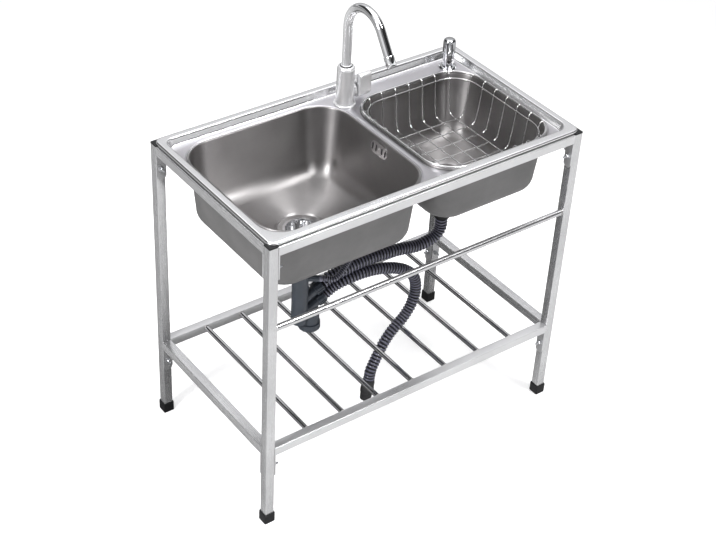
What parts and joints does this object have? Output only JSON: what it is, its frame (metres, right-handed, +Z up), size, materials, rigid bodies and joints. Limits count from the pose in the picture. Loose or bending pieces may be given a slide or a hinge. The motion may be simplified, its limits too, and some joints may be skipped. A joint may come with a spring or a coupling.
{
  "type": "kitchen sink unit",
  "caption": "Free-standing steel sink with two bowls on a square-tube frame, with a gooseneck mixer, soap pump, wire basket, drain hoses, towel rail and slatted shelf.",
  "frame": {"origin": "on the floor under the middle of the four feet", "axes": "+X to the right of a person standing at the sink, +Y away from that person, +Z up"},
  "size_m": [0.825, 0.465, 1.0133],
  "materials": {
    "tube_steel": "satin",
    "sheet_steel": "brushed",
    "chrome": "polished",
    "wire_steel": "polished",
    "black_plastic": "matte",
    "slate_plastic": "matte",
    "hose_plastic": "semi-gloss",
    "white_plastic": "matte"
  },
  "bodies": {
    "frame_and_sink": {"cleanout_cap": "slate_plastic", "cross_hose": "hose_plastic", "cross_hose_nut": "slate_plastic", "drain_tee": "slate_plastic", "faucet_base": "chrome", "faucet_body": "chrome", "faucet_nut": "slate_plastic", "foot_front_left": "black_plastic", "foot_front_right": "black_plastic", "foot_rear_left": "black_plastic", "foot_rear_right": "black_plastic", "left_bowl": "sheet_steel", "left_drain_cup": "sheet_steel", "left_drain_nut": "slate_plastic", "leg_cap_front_left": "black_plastic", "leg_cap_front_right": "black_plastic", "leg_cap_rear_left": "black_plastic", "leg_cap_rear_right": "black_plastic", "leg_front_left": "tube_steel", "leg_front_right": "tube_steel", "leg_rear_left": "tube_steel", "leg_rear_right": "tube_steel", "outlet_fitting": "black_plastic", "outlet_hose": "hose_plastic", "outlet_hose_nut": "slate_plastic", "overflow_cover": "chrome", "overflow_elbow": "slate_plastic", "overflow_hose": "hose_plastic", "right_bowl": "sheet_steel", "right_drain_cup": "sheet_steel", "right_drain_nut": "slate_plastic", "right_tailpiece": "slate_plastic", "shelf_rail_front": "tube_steel", "shelf_rail_left": "tube_steel", "shelf_rail_rear": "tube_steel", "shelf_rail_right": "tube_steel", "shelf_slat_1": "tube_steel", "shelf_slat_2": "tube_steel", "shelf_slat_3": "tube_steel", "shelf_slat_4": "tube_steel", "shelf_slat_5": "tube_steel", "shelf_slat_6": "tube_steel", "shelf_slat_7": "tube_steel", "sink_deck": "sheet_steel", "soap_bottle": "white_plastic", "soap_collar": "chrome", "top_rail_front": "tube_steel", "top_rail_left": "tube_steel", "top_rail_rear": "tube_steel", "top_rail_right": "tube_steel", "towel_rail": "tube_steel"},
    "spout": {"spout": "chrome", "aerator": "chrome"},
    "mixing_core": {"mixing_core": "white_plastic"},
    "lever": {"lever": "chrome"},
    "pump_plunger": {"soap_plunger": "chrome"},
    "pump_head": {"soap_head": "chrome"},
    "basket": {"wire_basket": "wire_steel"},
    "left_strainer": {"left_strainer": "chrome"},
    "right_strainer": {"right_strainer": "chrome"}
  },
  "joints": [
    {"name": "spout_swivel", "type": "hinge", "parent": "frame_and_sink", "child": "spout", "pos_m": [0.0435, 0.156, 0.833], "axis": [0, 0, 1], "range_deg": [-90, 90]},
    {"name": "lever_temperature", "type": "hinge", "parent": "frame_and_sink", "child": "mixing_core", "pos_m": [0.0435, 0.156, 0.775], "axis": [1, 0, 0], "range_deg": [-35, 35]},
    {"name": "lever_flow", "type": "hinge", "parent": "mixing_core", "child": "lever", "pos_m": [0.0585, 0.156, 0.775], "axis": [0, 1, 0], "range_deg": [0, 10]},
    {"name": "pump_press", "type": "slide", "parent": "frame_and_sink", "child": "pump_plunger", "axis": [0, 0, -1], "range_m": [0, 0.014], "stiffness_N_per_m": 220, "springref_m": -0.012},
    {"name": "pump_head_swivel", "type": "hinge", "parent": "pump_plunger", "child": "pump_head", "pos_m": [0.347, 0.167, 0.793], "axis": [0, 0, 1], "continuous": true},
    {"name": "basket_tip", "type": "hinge", "parent": "frame_and_sink", "child": "basket", "pos_m": [0.211, 0.1465, 0.7477], "axis": [-1, 0, 0], "range_deg": [0, 12]},
    {"name": "left_strainer_lift", "type": "slide", "parent": "frame_and_sink", "child": "left_strainer", "axis": [0, 0, 1], "range_m": [0, 0.12]},
    {"name": "right_strainer_lift", "type": "slide", "parent": "frame_and_sink", "child": "right_strainer", "axis": [0, 0, 1], "range_m": [0, 0.028]}
  ]
}
